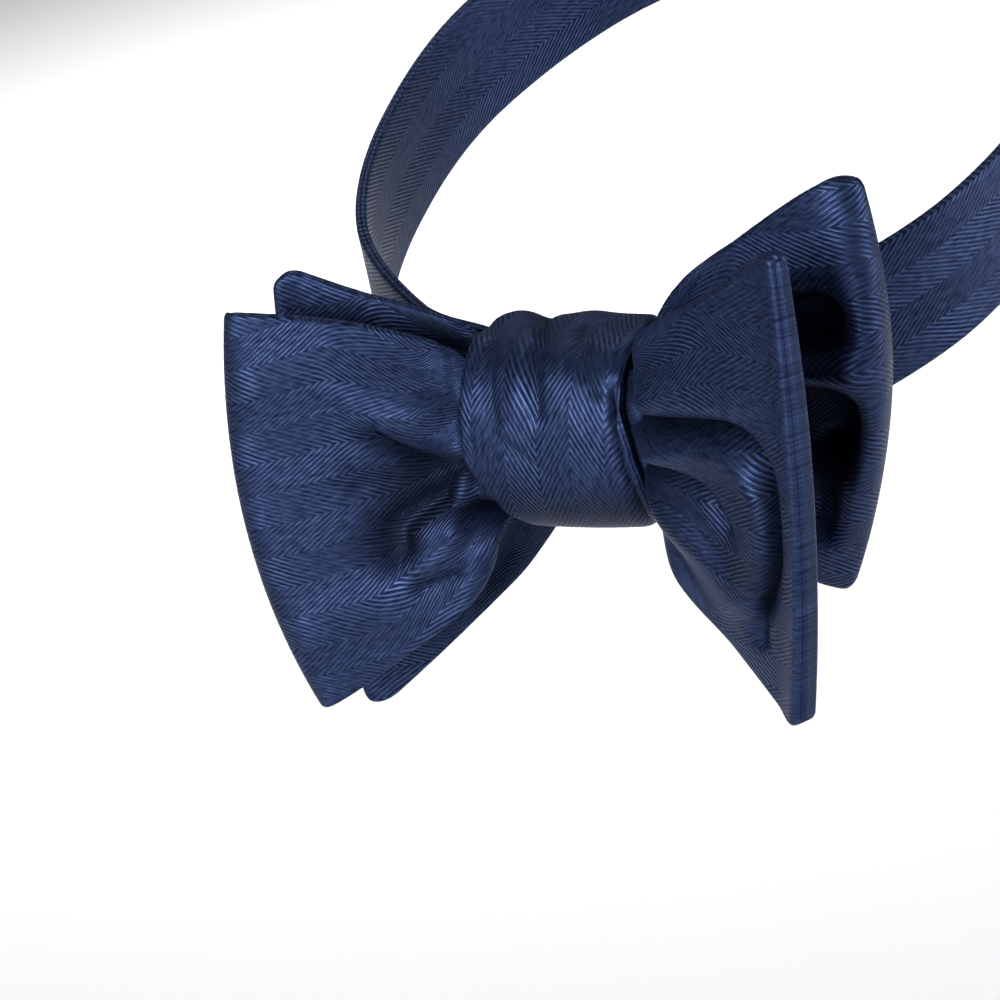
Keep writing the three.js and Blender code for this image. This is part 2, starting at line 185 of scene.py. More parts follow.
FRONT_BOW_FOLDS = (
    Fold("bump over the crease", (6, 9.2), ((-15, 0.5), (-19, 2.8), (-23, 6), (-28, 9)),
         1.8, (1.6, 4.5), (1, 0.3)),
    Fold("crease", (6, 9.2), ((-15, -2.8), (-18, -2), (-21.2, -0.7), (-24, 1.4), (-27.6, 5.2)),
         -3.2, (2.0, 1.1), (1, 0.55), shade=1.5),
    Fold("shallow under it", (6, 9.2), ((-18, -3.6), (-22, -3), (-26, -2.4), (-31, -3)),
         -1.7, (2.2, 3.2), (0.7, 0.6), shade=2.2),
    Fold("ridge", (6, 9.2), ((-17, -3), (-20.4, -4.4), (-23.4, -5.7), (-26.6, -7), (-29.4, -8.4)),
         0.5, (0.9, 1.5), (0.6, 1)),
    Fold("hollow", (6, 9.2), ((-21.2, -6.7), (-25.5, -9.1), (-28, -12), (-28, -14.6)),
         -3.6, (3.2, 4.4), (0.95, 0.75), steepness=2.5, shade=1.5),
    # Only 0.2 mm deep: this row is there for the painted shade on the inner side of the hollow
    Fold("painted shade beside the hollow", (6, 9.2), ((-20.6, -8.4), (-23.6, -11), (-25.2, -14)),
         -0.2, (2.4, 2.4), (0.8, 1), shade=8.0),
    Fold("steep ridge", (6, 9.2), ((-16.6, -4.4), (-17.6, -7.4), (-17.8, -10.5), (-18.4, -13.4)),
         1.8, (1.2, 1.4), (0.5, 0.5)),
    Fold("tuck by the knot", (6, 10), ((-12, -5.2), (-15.2, -5.6), (-18, -5.2)),
         -1.8, (1.8, 1.8), (1, 0.3)),
    Fold("dent under the knot", (6, 10), ((-9, -11.4), (-13.4, -11.2), (-16, -10)),
         -5.4, (2.2, 1.7), (1, 0.7), shade=1.3),
    Fold("lobe", (6, 9.2), ((-13, -15.5), (-16, -17.5), (-19, -22)), 1.6, (2.2, 2.4), (1, 0.6)),
    Fold("small ridge", (6, 9.2), ((-19, -17.2), (-25, -18.2)), 0.6, (1.6, 1.8), (1, 0.5)),
    Fold("small crease", (6, 9.2), ((-20.4, -20.4), (-25.4, -21.4)),
         -1.1, (1.5, 1.5), (0.6, 1), shade=2.0),
    Fold("long swell", (5.8, 9), ((-18, 12), (-30, 15), (-44, 16)), 0.9, (5, 5), (0.4, 1)),
    Fold("lower swell", (5.8, 9), ((-22, -24), (-32, -24), (-42, -27)), 0.9, (5, 5), (0.4, 1)),
    Fold("panel", (12, 15), ((15, 8.5), (24, 10.5), (36, 11.5)), 1.3, (6, 1.8), (1, 0.6)),
    Fold("gutter", (12, 15.5),
         ((14, 5.5), (21, 6.3), (29.5, 7.6), (35.5, 8.2), (40, 6.4), (42.4, 2),
          (42.3, -5), (41, -12), (38, -19)),
         -3.8, (1.3, 2.4), (1, 0.9), shade=1.25),
    Fold("rolled fold", (12, 15.5),
         ((14, 2.4), (22, 3.4), (28, 4.2), (34, 3.4), (37.6, 0), (38.4, -5), (37, -12), (34, -19)),
         2.2, (2.0, 3.2), (1, 0.6)),
    Fold("second crease", (12, 15), ((13.5, -2.5), (20, -0.8), (25, -1.4), (29.5, -3.6), (32.5, -8)),
         -3.6, (1.2, 2), (1, 0.4), shade=1.5),
    Fold("lower lobe", (12, 15), ((14, -5), (20, -8), (25, -12.5), (30, -20)),
         2.2, (2.6, 3.6), (1, 0.4)),
    Fold("lower crease", (12, 15), ((14, -8.5), (18.5, -12.5), (21, -17)),
         -1.6, (1.6, 1.8), (1, 0.3), shade=2.0),
    # Only 0.2 mm deep: this row is there for the painted shade on the lobe of the flat end
    Fold("painted shade on the lobe", (12, 15), ((17, -5), (25, -8), (31, -14)),
         -0.2, (5, 5), (0.7, 0.6), shade=10.0),
    # Only 0.2 mm deep: this row is there for the painted shade on the rolled fold
    Fold("painted shade on the roll", (12, 15), ((30, 2), (37.5, -1.5), (38, -8), (35, -15)),
         -0.2, (3, 3), (0.7, 0.6), shade=8.0),
    Fold("dent by the seam", (12, 15.5), ((37, -20), (35.8, -25)), -1.8, (1.4, 1.8), (1, 1), shade=2.0),
)

BACK_BOW_FOLDS = (
    Fold("upper hollow", (5.6, 9), ((28, 15), (36, 16), (43.6, 16.8)),
         -7.5, (5.0, 4.8), (0.3, 1), steepness=4.0),
    Fold("lower hollow", (5.6, 9), ((30, 2), (42.4, 0.6)), -8.0, (6.6, 7.0), (0.3, 1), steepness=4.0),
    Fold("tail of the lower hollow", (5.6, 9), ((41, -6), (39, -14)),
         -4.5, (3.4, 3), (1, 0.6), steepness=3.0),
    Fold("ridge between", (5.6, 9), ((50.6, 9.6), (44, 9.8), (34, 9.2)), 1.6, (2.2, 2.2), (1, 0.5)),
    Fold("soft pleat", (5, 9), ((18, 9), (27, 12.5), (36, 24)), 1.2, (2.4, 2.4), (1, 0.3)),
    Fold("long furrow", (11, 14), ((-14, 4), (-30, 8)), -1.0, (3, 3), (1, 0.3)),
    # A 0.8 mm dip whose shade paints the shadow of the front wing on the back blade
    Fold("shallow dip with painted shadow under the front wing", (11, 14.5), ((-10, -17), (-20, -27), (-34, -40)),
         -0.8, (5, 5), (1, 0.3), shade=4.0),
)

KNOT_FOLDS = (
    Fold("right groove", (-60, 125), ((-7.6, 7), (-8.2, 11.5), (-9.3, 19), (-11.5, 24.5)),
         -0.8, (1.9, 1.5), (0.5, 1)),
    Fold("middle groove", (-60, 140), ((-0.2, 8), (-0.4, 11.5), (-0.9, 19), (-3, 24.5), (-6, 30)),
         -1.3, (1.8, 1.5), (0.5, 1)),
    Fold("left groove", (-60, 125), ((9.4, 11.5), (7.5, 15), (5.8, 19), (4, 24)),
         -0.8, (1.6, 1.6), (0.6, 1)),
    Fold("fold over the middle groove", (-60, 140), ((-3.6, 9), (-3.8, 19), (-5.4, 24)),
         0.7, (1.8, 1.8), (0.4, 1)),
    Fold("slanting crease", (-60, 90), ((-7.5, 4.5), (-5.2, 2), (-2.5, -1), (0.2, -3.6)),
         -0.45, (0.9, 1.8), (0.7, 0.5)),
    Fold("hump behind", (-60, 170), ((2.5, 26), (2.0, 38)), 0.5, (3, 3), (1, 0.6)),
    Fold("right shoulder", (-60, 170), ((-10.6, 21), (-10.4, 36)), 1.5, (3.2, 3.4), (0.7, 0.7)),
    # A 0.5 mm dip whose shade paints shade on the knot's underside
    Fold("shallow dip with painted shade underneath", (-120, -10), ((-13, -11), (0, -13), (15, -12)),
         -0.5, (6, 7), (0.8, 1), shade=4.4),
    Fold("line beside the rolled end", (-100, 60),
         ((12.1, 12), (12.2, 0), (13.0, -8), (12.8, -14), (12.2, -22)),
         -1.3, (0.9, 0.9), (0.7, 1)),
)


def smooth_step(low: float, high: float, value: Array) -> Array:
    """Ease values from 0, where they are low, to 1, where they are high."""
    t = np.clip((value - low) / (high - low), 0, 1)
    return t * t * (3 - 2 * t)


def through_points(points: Array, at: Array) -> Array:
    """Follow a smooth curve through points, as a flexible strip bends.

    Args:
        points: one row for each point, in any number of dimensions.
        at: places along the curve, where the first point is 0 and the second is 1.

    Returns:
        One row for each place.
    """
    before = 2 * points[0] - points[1]
    after = 2 * points[-1] - points[-2]
    padded = np.vstack([before, points, after])
    start = np.clip(np.floor(at).astype(int), 0, len(points) - 2)
    t = (at - start)[:, None]
    p0, p1, p2, p3 = (padded[start + k] for k in range(4))
    return 0.5 * (
        2 * p1
        + (p2 - p0) * t
        + (2 * p0 - 5 * p1 + 4 * p2 - p3) * t**2
        + (3 * p1 - p0 - 3 * p2 + p3) * t**3
    )


def place_by_line(x: Array, z: Array, line: tuple[Pair, ...]) -> tuple[Array, Array, Array]:
    """Place points beside a smooth line.

    Args:
        x: the points' first numbers.
        z: the points' second numbers.
        line: the points that the line runs through.

    Returns:
        Each point's shortest distance, how far it lies left of the line, from 0 to 1, and the
        share of the line's length at which the nearest point lies.
    """
    steps = LINE_STEPS * (len(line) - 1) + 1
    corners = through_points(np.array(line, float), np.linspace(0, len(line) - 1, steps))
    lengths = np.linalg.norm(np.diff(corners, axis=0), axis=1)
    nearest = np.full(x.shape, np.inf)
    left = np.zeros(x.shape)
    share = np.zeros(x.shape)
    walked = 0.0
    for (ax, az), (bx, bz), length in zip(corners, corners[1:], lengths):
        dx, dz = (bx - ax) / length, (bz - az) / length
        along = np.clip((x - ax) * dx + (z - az) * dz, 0, length)
        distance = np.hypot(x - ax - along * dx, z - az - along * dz)
        closer = distance < nearest
        nearest = np.where(closer, distance, nearest)
        aside = dx * (z - az) - dz * (x - ax)
        left = np.where(closer, smooth_step(-SIDE_BLEND, SIDE_BLEND, aside), left)
        share = np.where(closer, (walked + along) / lengths.sum(), share)
        walked += length
    return nearest, left, share


def unit(vectors: Array) -> Array:
    """Scale vectors, held in the last axis, to a length of one."""
    return vectors / np.maximum(np.linalg.norm(vectors, axis=-1, keepdims=True), 1e-9)


def grid_normals(points: Array, closed: bool) -> Array:
    """Work out the normals of a grid of points.

    Args:
        points: the grid, as (rows, columns, 3).
        closed: whether the last row meets the first.

    Returns:
        A unit normal for each point.
    """
    if closed:
        along = np.roll(points, -1, axis=0) - np.roll(points, 1, axis=0)
    else:
        along = np.gradient(points, axis=0)
    across = np.gradient(points, axis=1)
    return unit(np.cross(along, across))


@dataclass
class ClothWall:
    """A wall of cloth round a middle surface, closed by rounded, seamed edges.

    The middle surface is a grid of points in mm. Its rows run along the cloth and its columns
    across it, and uv holds the place of each point on the cloth as it was woven. The hollow
    mask is painted shade, which darkens a point's colour for its depth in a fold, and the plain
    mask hides its weave. The last row of a closed wall meets its first, and the wrap length of
    cloth goes once round it.
    """

    name: str
    middle: Array
    uv: Array
    thickness: Array
    hollow: Array
    closed: bool
    wrap_length: float = 0.0
    plain: Array | None = None

    def build(self) -> bpy.types.Object:
        """Make the wall's mesh, with its places on the cloth and its masks.

        Returns:
            The new object, at the origin, in metres.
        """
        offset = grid_normals(self.middle, self.closed) * (self.thickness / 2)[..., None]
        points = np.concatenate([self.middle + offset, self.middle - offset]).reshape(-1, 3) * MM
        quads = self._quads()
        mesh = bpy.data.meshes.new(self.name + "_silk")
        mesh.from_pydata(points.tolist(), [], quads.tolist())
        places = mesh.uv_layers.new(name=PLACE_ON_CLOTH)
        places.data.foreach_set("uv", self._corner_places(quads).astype(np.float32).ravel())
        plain = np.zeros_like(self.thickness) if self.plain is None else self.plain
        for label, values in ((PAINTED_SHADE_MASK, self.hollow), (PLAIN_MASK, plain)):
            mask = mesh.attributes.new(label, "FLOAT", "POINT")
            both_sides = np.tile(np.clip(values, 0, 1).ravel(), 2)
            mask.data.foreach_set("value", both_sides.astype(np.float32))
        mesh.validate()
        self._merge(mesh)
        piece = bpy.data.objects.new(self.name + "_silk", mesh)
        bpy.context.scene.collection.objects.link(piece)
        return piece

    def _point(self, side: int, i: Array, j: Array) -> Array:
        """Number the points at rows i and columns j, on the front (0) or the back (1)."""
        rows, columns = self.middle.shape[:2]
        return side * rows * columns + (i % rows) * columns + j

    def _quads(self) -> Array:
        """List the faces of the front, of the back, and of the edges where they meet.

        Returns:
            The numbers of the four points of each face.
        """
        rows, columns = self.middle.shape[:2]
        at = self._point
        last = rows if self.closed else rows - 1
        grid = np.meshgrid(np.arange(last), np.arange(columns - 1), indexing="ij")
        i, j = (a.ravel() for a in grid)
        faces = [
            (at(0, i, j), at(0, i + 1, j), at(0, i + 1, j + 1), at(0, i, j + 1)),
            (at(1, i, j), at(1, i, j + 1), at(1, i + 1, j + 1), at(1, i + 1, j)),
        ]
        i = np.arange(last)
        low, high = np.zeros_like(i), np.full_like(i, columns - 1)
        faces += [
            (at(0, i, low), at(1, i, low), at(1, i + 1, low), at(0, i + 1, low)),
            (at(0, i, high), at(0, i + 1, high), at(1, i + 1, high), at(1, i, high)),
        ]
        if not self.closed:
            j = np.arange(columns - 1)
            first, end = np.zeros_like(j), np.full_like(j, rows - 1)
            faces += [
                (at(0, first, j), at(0, first, j + 1), at(1, first, j + 1), at(1, first, j)),
                (at(0, end, j), at(1, end, j), at(1, end, j + 1), at(0, end, j + 1)),
            ]
        return np.concatenate([np.stack(corners, axis=1) for corners in faces])

    def _corner_places(self, quads: Array) -> Array:
        """Give each corner of each face its place on the cloth, also where a wall meets itself.

        Args:
            quads: the numbers of the four points of each face.

        Returns:
            The place of each corner, in metres.
        """
        rows, columns = self.middle.shape[:2]
        places = (np.concatenate([self.uv, self.uv]).reshape(-1, 2) * MM)[quads]
        row = (quads % (rows * columns)) // columns
        wraps = (row.max(axis=1) == rows - 1) & (row.min(axis=1) == 0) & self.closed
        places[..., 0] += self.wrap_length * MM * (wraps[:, None] & (row == 0))
        return places

    def _merge(self, mesh: bpy.types.Mesh) -> None:
        """Join the front and the back where they meet at an edge, and shade the mesh smooth.

        Args:
            mesh: the wall's mesh, which is changed.
        """
        work = bmesh.new()
        work.from_mesh(mesh)
        bmesh.ops.remove_doubles(work, verts=work.verts, dist=MERGE_DISTANCE)
        for face in work.faces:
            face.smooth = True
        work.to_mesh(mesh)
        work.free()
        mesh.update()


def rounded_edge(steps: int, reach: float) -> tuple[Array, Array]:
    """Sample the rounding of a seamed edge, from the seam inwards.

    Args:
        steps: how many samples.
        reach: how far the rounding reaches in from the seam, in mm.

    Returns:
        The distance of each sample from the outermost line, and its share of full thickness.
    """
    angle = np.linspace(0, math.pi / 2, steps + 1)
    seam = SEAM_GROOVE * np.exp(-((angle / SEAM_SPREAD) ** 2))
    return reach * (1 - np.cos(angle)) + seam, np.sin(angle)


def across_cloth(
    reach: Array, edge_reach: float, edge_steps: int, columns: int
) -> tuple[Array, Array]:
    """Lay out grid points across a piece of cloth, finer at its two rounded edges.

    Args:
        reach: how far each row reaches to each side, in mm.
        edge_reach: how far a rounding reaches in, in mm.
        edge_steps: how many samples a rounding has.
        columns: how many columns there are between the two.

    Returns:
        The distance of each point from the middle, and each column's share of full thickness.
    """
    rim, rim_share = rounded_edge(edge_steps, edge_reach)
    body = np.linspace(-1, 1, columns + 1)[None, :] * (reach - edge_reach)[:, None]
    outward = (reach[:, None] - rim[None, ::-1])[:, 1:]
    distance = np.concatenate([-outward[:, ::-1], body, outward], axis=1)
    share = np.concatenate([rim_share[:-1], np.ones(columns + 1), rim_share[:-1][::-1]])
    return distance, share


def rounded_off(distance: Array, radius: float) -> Array:
    """Tell how far a rounded corner draws the cloth's edge in, at a distance from the corner."""
    short = np.clip(radius - distance, 0, radius * ROUNDING_LIMIT)
    return radius - np.sqrt(radius**2 - short**2)


def dress_piece(piece: bpy.types.Object, silk: bpy.types.Material, node: str) -> None:
    """Give a piece its material and let it ride with the part in place of its solid.

    Args:
        piece: the finished piece.
        silk: its material.
        node: the solid that it stands for.
    """
    piece.data.materials.clear()
    piece.data.materials.append(silk)
    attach(piece, ROOT_BODY)
    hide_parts(node)


@dataclass
class BowBlade:
    """One blade of the tie: a folded loop, a gathered waist in the knot, and a flat seamed end.

    Lengths are in mm. Pleats start, are full and are gone at distances from the middle of the
    tie. The cloth is gathered up to the first distance of gathered_within and not at all past
    the second. The seamed end thickens over its puff_length and loses its weave over its hem.
    """

    name: str
    sections: tuple[Section, ...]
    folds: tuple[Fold, ...]
    flat: Pair
    flat_area: float
    cloth: float = 2.0
    seamed_end: float = 4.6
    seam_depth: float = 0.7
    puff_length: float = 6.0
    thinner_at_top: float = 0.4
    thinner_from: float = 0.2
    hem: Pair = (2.4, 0.8)
    edge_reach: float = 1.3
    corner_radius: float = 4.2
    fold_radius: float = 2.2
    fold_row: int = 5
    fold_spacing: float = 5.0
    stations: int = 330
    columns: int = 84
    edge_steps: int = 6
    pleat_count: int = 4
    pleat_height: float = 0.8
    pleat_starts: float = 14.5
    pleat_full: float = 19.5
    pleat_gone: float = 29.0
    cloth_gathered: float = 0.8
    gathered_within: Pair = (12.0, 34.0)
    # Depth in mm, times a fold's shade, at which the painted shade is full
    full_shade_depth: float = 3.5
    weave_turn: float = 1.0
    hold: ClothHold = ClothHold.GATHERED

    def _last_stretch(self) -> tuple[int, float]:
        """Give the number of the last section, and its distance from the one before it."""
        length = math.dist(self.sections[-1].middle, self.sections[-2].middle)
        return len(self.sections) - 1, length

    def _stations(self) -> tuple[Array, Array]:
        """Lay out the rows along the blade, finer at its rounded, seamed end.

        Returns:
            The place of each row in the section table, and its share of full thickness.
        """
        last, end_length = self._last_stretch()
        rim, rim_share = rounded_edge(self.edge_steps, self.edge_reach)
        inner = np.linspace(0, last - self.edge_reach / end_length, self.stations)
        tail = last - (rim / end_length)[::-1][1:]
        at = np.concatenate([inner, tail])
        at[-1] -= self.seam_depth / end_length
        return at, np.concatenate([np.ones(len(inner)), rim_share[::-1][1:]])

    def _edges(self, at: Array) -> tuple[Array, Array, Array]:
        """Follow the top edge, the middle and the bottom edge along the blade."""
        return tuple(
            through_points(np.array([getattr(s, key) for s in self.sections], float), at)
            for key in ("top", "middle", "bottom")
        )

    def build(self) -> bpy.types.Object:
        """Shape the blade and make its wall of cloth.

        Returns:
            The blade's silk.
        """
        last, end_length = self._last_stretch()
        at, end_share = self._stations()
        top, middle, bottom = self._edges(at)
        half = (top - bottom) / 2
        bend = (top + bottom) / 2 - middle
        half_length = np.linalg.norm(half, axis=1)
        corner = rounded_off((last - at) * end_length, self.corner_radius)
        fold_corner = rounded_off(np.abs(at - self.fold_row) * self.fold_spacing, self.fold_radius)
        reach = half_length - corner - fold_corner
        distance, share = across_cloth(reach, self.edge_reach, self.edge_steps, self.columns)
        v = distance / half_length[:, None]
        points = middle[:, None] + half[:, None] * v[..., None] + bend[:, None] * (v * v)[..., None]
        uv = self._cloth_place(points, middle)
        hollow = self._fold_cloth(points, at, v)
        near_end = smooth_step(last - self.puff_length / end_length, last, at)[:, None]
        puff = near_end * (1 - self.thinner_at_top * smooth_step(self.thinner_from, 1, v))
        thickness = self.cloth + (self.seamed_end - self.cloth) * puff
        thickness = thickness * share[None, :] * end_share[:, None]
        hem_starts, hem_full = (last - from_end / end_length for from_end in self.hem)
        plain = np.broadcast_to(smooth_step(hem_starts, hem_full, at)[:, None], v.shape)
        wall = ClothWall(self.name, points, uv, thickness, hollow, closed=False, plain=plain)
        return wall.build()

    def _fold_cloth(self, points: Array, at: Array, v: Array) -> Array:
        """Pleat and fold the blade.

        Args:
            points: the blade's grid, which is changed.
            at: the place of each row in the section table.
            v: how far each point lies across the blade, from -1 to 1.

        Returns:
            How much painted shade darkens each point, for its depth.
        """
        x, z = points[..., 0].copy(), points[..., 2].copy()
        section = np.broadcast_to(at[:, None], x.shape)
        fade = 1 - smooth_step(self.pleat_full, self.pleat_gone, np.abs(x))
        rise = smooth_step(self.pleat_starts, self.pleat_full, np.abs(x))
        pleat = self.pleat_height * rise * fade * np.cos(math.pi * self.pleat_count * v)
        lifts = [fold.lift(section, x, z) for fold in self.folds]
        points[..., 1] -= pleat + sum(lifts)
        # Painted shade for how deep the folds sink the cloth, full along the last row, the seam
        hollow = painted_shade_from_depth(self.folds, lifts) / self.full_shade_depth
        hollow[-1] = 1.0
        return hollow

    def _cloth_place(self, points: Array, middle: Array) -> Array:
        """Work out where each point lies on the cloth as it was woven, in mm.

        Args:
            points: the blade's grid before it is pleated and folded.
            middle: the blade's middle line.

        Returns:
            The place along and across the cloth, for each point.
        """
        steps = np.linalg.norm(np.diff(middle, axis=0), axis=1)
        along = np.concatenate([[0], np.cumsum(steps)])
        across_steps = np.linalg.norm(np.diff(points, axis=1), axis=2)
        first = np.zeros((len(points), 1))
        across = np.concatenate([first, np.cumsum(across_steps, axis=1)], axis=1)
        centre = points.shape[1] // 2
        across = across - across[:, centre : centre + 1]
        near_knot = 1 - smooth_step(*self.gathered_within, np.abs(middle[:, 0]))
        across = across * (1 + self.cloth_gathered * near_knot)[:, None]
        turned = np.broadcast_to(self.weave_turn * along[:, None], across.shape)
        return np.stack([turned, across], axis=-1)

    def dress(self, piece: bpy.types.Object, silk: bpy.types.Material) -> None:
        """Give the blade its silk and let it stand in for its solid."""
        dress_piece(piece, silk, self.name)


@dataclass(frozen=True)
class KnotEnd:
    """Where the knot's two ends lie at one angle round it. 0 is the front and 90 the top."""

    angle: float
    right: float
    left: float


KNOT_ENDS = (
    KnotEnd(0, -14.6, 14.2),
    KnotEnd(35, -14.0, 13.0),
    KnotEnd(60, -13.7, 13.8),
    KnotEnd(90, -13.9, 14.4),
    KnotEnd(115, -13.3, 13.2),
    KnotEnd(145, -9.2, 10.2),
    KnotEnd(180, -9.0, 9.5),
    KnotEnd(225, -9.0, 10.5),
    KnotEnd(270, -8.4, 12.8),
    KnotEnd(295, -8.8, 14.6),
    KnotEnd(317, -11.2, 15.0),
    KnotEnd(335, -13.4, 14.8),
    KnotEnd(360, -14.6, 14.2),
)


@dataclass
class Knot:
    """The wide strap that wraps the waists of both bows.

    Lengths are in mm. The roundness is 2 for an ellipse and more for a squarer outline. The
    column values place, stretch and slant the columns of the weave.
    """

    name: str = "knot"
    wall: float = 2.0
    centre_y: float = -13.65
    half_depth: float = 12.65
    centre_z: float = -0.3
    half_height: float = 16.1
    front_roundness: float = 2.5
    rear_roundness: float = 4.0
    end_taper: float = 0.5
    mean_radius: float = 14.6
    column_at: float = 4.2
    column_stretch: float = 0.955
    column_slant: float = 0.108
    edge_reach: float = 1.2
    rolled_end: float = 2.4
    rolled_plain: float = 0.7
    edge_steps: int = 6
    around: int = 280
    columns: int = 120
    ends: tuple[KnotEnd, ...] = KNOT_ENDS
    folds: tuple[Fold, ...] = KNOT_FOLDS
    full_shade_depth: float = 2.6
    flat: Pair = (31.0, 98.0)
    hold: ClothHold = ClothHold.FOLDED

    def _end(self, angle: Array, key: str) -> Array:
        """Read where one end of the knot lies, easing between the rows.

        Args:
            angle: angles round the knot, in degrees.
            key: which end, right or left.

        Returns:
            The x of that end at each angle, in mm.
        """
        angles = np.array([row.angle for row in self.ends])
        values = np.array([getattr(row, key) for row in self.ends])
        low = np.clip(np.searchsorted(angles, angle, side="right") - 1, 0, len(angles) - 2)
        t = (angle - angles[low]) / (angles[low + 1] - angles[low])
        return values[low] + (values[low + 1] - values[low]) * t * t * (3 - 2 * t)

    def build(self) -> bpy.types.Object:
        """Shape the wrap and make its wall of cloth.

        Returns:
            The knot's silk.
        """
        angle = np.linspace(180, 540, self.around, endpoint=False) % 360
        right, left = self._end(angle, "right"), self._end(angle, "left")
        half_width = (left - right) / 2
        across, share = across_cloth(half_width, self.edge_reach, self.edge_steps, self.columns)
        x = ((left + right) / 2)[:, None] - across
        turn = np.broadcast_to(((angle + 180) % 360 - 180)[:, None], x.shape)
        arc = np.radians(turn) * self.mean_radius
        lifts = [fold.lift(turn, x, arc) for fold in self.folds]
        # Painted shade for how deep the folds sink the wrap
        hollow = painted_shade_from_depth(self.folds, lifts) / self.full_shade_depth
        radians = np.radians(angle)[:, None]
        forward, up = np.cos(radians), np.sin(radians)
        power = np.where(forward >= 0, self.front_roundness, self.rear_roundness)
        inset = self.wall / 2
        size = (
            np.abs(forward / (self.half_depth - inset)) ** power
            + np.abs(up / (self.half_height - inset)) ** power
        ) ** (-1 / power)
        taper = self.end_taper * (across / half_width[:, None]) ** 2
        radius = size - taper + sum(lifts)
        y, z = self.centre_y - forward * radius, self.centre_z + up * radius
        points = np.stack([x, y, z], axis=-1)
        thickness = np.broadcast_to(self.wall * share[None, :], x.shape)
        middle = points[:, points.shape[1] // 2]
        steps = np.linalg.norm(np.roll(middle, -1, axis=0) - middle, axis=1)
        along = np.concatenate([[0], np.cumsum(steps)[:-1]])
        column = (x - self.column_at - self.column_slant * arc) * self.column_stretch
        uv = np.stack([np.broadcast_to(along[:, None], x.shape), column], axis=-1)
        from_end = half_width[:, None] + across
        plain = 1 - smooth_step(self.rolled_end * self.rolled_plain, self.rolled_end, from_end)
        once_round = steps.sum()
        wall = ClothWall(self.name, points, uv, thickness, hollow, True, once_round, plain)
        return wall.build()

    def dress(self, piece: bpy.types.Object, silk: bpy.types.Material) -> None:
        """Give the knot its silk and let it stand in for its solid."""
        dress_piece(piece, silk, self.name)


@dataclass(frozen=True)
class BandRow:
    """The middle line of the neck band at one place, and the height of the strip there."""

    x: float
    y: float
    z: float
    height: float


BAND_LINE = (
    BandRow(0, -5.1, 0.5, 14),
    BandRow(10.5, -5.1, 0.7, 14),
    BandRow(18, -3.4, 2, 20),
    BandRow(33, 2, 4, 22),
    BandRow(52, 22, 11, 22),
    BandRow(60.5, 52, 20, 22),
    BandRow(57, 86, 31, 22),
    BandRow(36, 117, 41, 22),
    BandRow(0, 129, 45, 22),
)


@dataclass
class NeckBand:
    """The narrow band that loops round the neck and runs through the rear of the knot."""

    name: str = "neck_band"
    thickness: float = 2.0
    edge_reach: float = 1.2
    edge_steps: int = 5
    stations: int = 520
    columns: int = 26
    line: tuple[BandRow, ...] = BAND_LINE
    flat: Pair = (22.0, 405.0)
    hold: ClothHold = ClothHold.STRETCHED

    def build(self) -> bpy.types.Object:
        """Bend the strip round the neck and make its wall of cloth.

        Returns:
            The band's silk.
        """
        half = [(row.x, row.y, row.z, row.height) for row in self.line]
        mirrored = [(-x, y, z, height) for x, y, z, height in half[-2:0:-1]]
        loop = np.array(half + mirrored, float)
        padded = np.vstack([loop[-2:], loop, loop[:3]])
        at = np.linspace(0, len(loop), self.stations, endpoint=False) + 2
        followed = through_points(padded, at)
        centre, height = followed[:, :3], followed[:, 3]
        along = unit(np.roll(centre, -1, axis=0) - np.roll(centre, 1, axis=0))
        outward = unit(np.stack([along[:, 1], -along[:, 0], np.zeros(len(along))], axis=1))
        up = unit(np.cross(outward, along))
        across, share = across_cloth(height / 2, self.edge_reach, self.edge_steps, self.columns)
        points = centre[:, None] + up[:, None] * across[..., None]
        steps = np.linalg.norm(np.roll(centre, -1, axis=0) - centre, axis=1)
        place = np.concatenate([[0], np.cumsum(steps)[:-1]])
        uv = np.stack([np.broadcast_to(place[:, None], across.shape), across], axis=-1)
        thickness = np.broadcast_to(self.thickness * share[None, :], across.shape)
        hollow = np.zeros(across.shape)
        wall = ClothWall(self.name, points, uv, thickness, hollow, True, steps.sum())
        return wall.build()

    def dress(self, piece: bpy.types.Object, silk: bpy.types.Material) -> None:
        """Give the band its silk and let it stand in for its solid."""
        dress_piece(piece, silk, self.name)


def add_maths(
    tree: bpy.types.NodeTree, operation: str, *inputs: float | bpy.types.NodeSocket
) -> bpy.types.NodeSocket:
    """Add one step of arithmetic to a material.

    Args:
        tree: the material's nodes, or a group's.
        operation: the name of the arithmetic.
        inputs: the numbers, or the sockets that they come from.

    Returns:
        The socket that holds the result.
    """
    node = tree.nodes.new("ShaderNodeMath")
    node.operation = operation
    for slot, value in zip(node.inputs, inputs):
        if isinstance(value, (int, float)):
            slot.default_value = value
        else:
            tree.links.new(value, slot)
    return node.outputs[0]


def add_noise(tree: bpy.types.NodeTree, scale: float, detail: float) -> bpy.types.Node:
    """Add a noise texture to a material.

    Args:
        tree: the material's nodes, or a group's.
        scale: how fine its noise is.
        detail: how many finer layers it has.

    Returns:
        The texture's node.
    """
    noise = tree.nodes.new("ShaderNodeTexNoise")
    noise.inputs["Scale"].default_value = scale
    noise.inputs["Detail"].default_value = detail
    return noise


